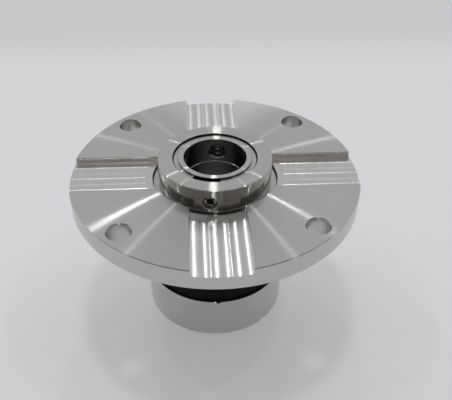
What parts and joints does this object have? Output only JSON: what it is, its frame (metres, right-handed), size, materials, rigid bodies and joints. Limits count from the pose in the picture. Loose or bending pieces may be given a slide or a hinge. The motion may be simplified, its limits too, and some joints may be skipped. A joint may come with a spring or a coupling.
{
  "type": "cartridge mechanical seal",
  "caption": "Cartridge shaft seal: slotted bolt-on flange with spigot, sleeve with clamped drive collar, and a sprung black face ring in a cylindrical holder.",
  "frame": {"origin": "on the shaft axis at the flange's inboard face, which bolts against the pump", "axes": "+Z along the shaft away from the pump, towards the drive collar; the slots run along X and Y"},
  "size_m": [0.165, 0.165, 0.1025],
  "materials": {
    "turned_steel": "fine turned stainless steel",
    "polished_steel": "polished stainless steel",
    "shell_steel": "satin ground stainless steel",
    "screw_steel": "stainless steel screw",
    "spring_wire": "drawn spring wire",
    "bronze": "turned bronze",
    "carbon": "lapped black carbon",
    "silicon_carbide": "lapped silicon carbide",
    "black_rubber": "matt black rubber",
    "white_ptfe": "white fluoropolymer"
  },
  "bodies": {
    "gland": {"gland_plate": "turned_steel", "spigot_o_ring": "black_rubber", "bush_carrier": "turned_steel", "throttle_bush": "bronze", "seat_ring": "silicon_carbide", "seat_o_ring": "black_rubber", "seat_gasket": "white_ptfe", "seat_pins": "screw_steel"},
    "rotor": {"shaft_sleeve": "polished_steel", "drive_collar": "polished_steel", "set_screws": "screw_steel", "retaining_ring": "spring_wire", "shaft_o_ring": "black_rubber", "spring_holder": "shell_steel", "drive_pins": "screw_steel", "foot_screws": "screw_steel", "springs": "spring_wire"},
    "face": {"face_ring": "carbon", "face_o_ring": "black_rubber", "thrust_ring": "shell_steel"}
  },
  "joints": [
    {"name": "rotor_spin", "type": "hinge", "parent": "gland", "child": "rotor", "pos_m": [0, 0, 0], "axis": [0, 0, 1], "continuous": true},
    {"name": "face_float", "type": "slide", "parent": "rotor", "child": "face", "axis": [0, 0, 1], "range_m": [-0.002, 0], "stiffness_N_per_m": 20000, "springref_m": 0.003, "deforming": ["springs"]}
  ]
}
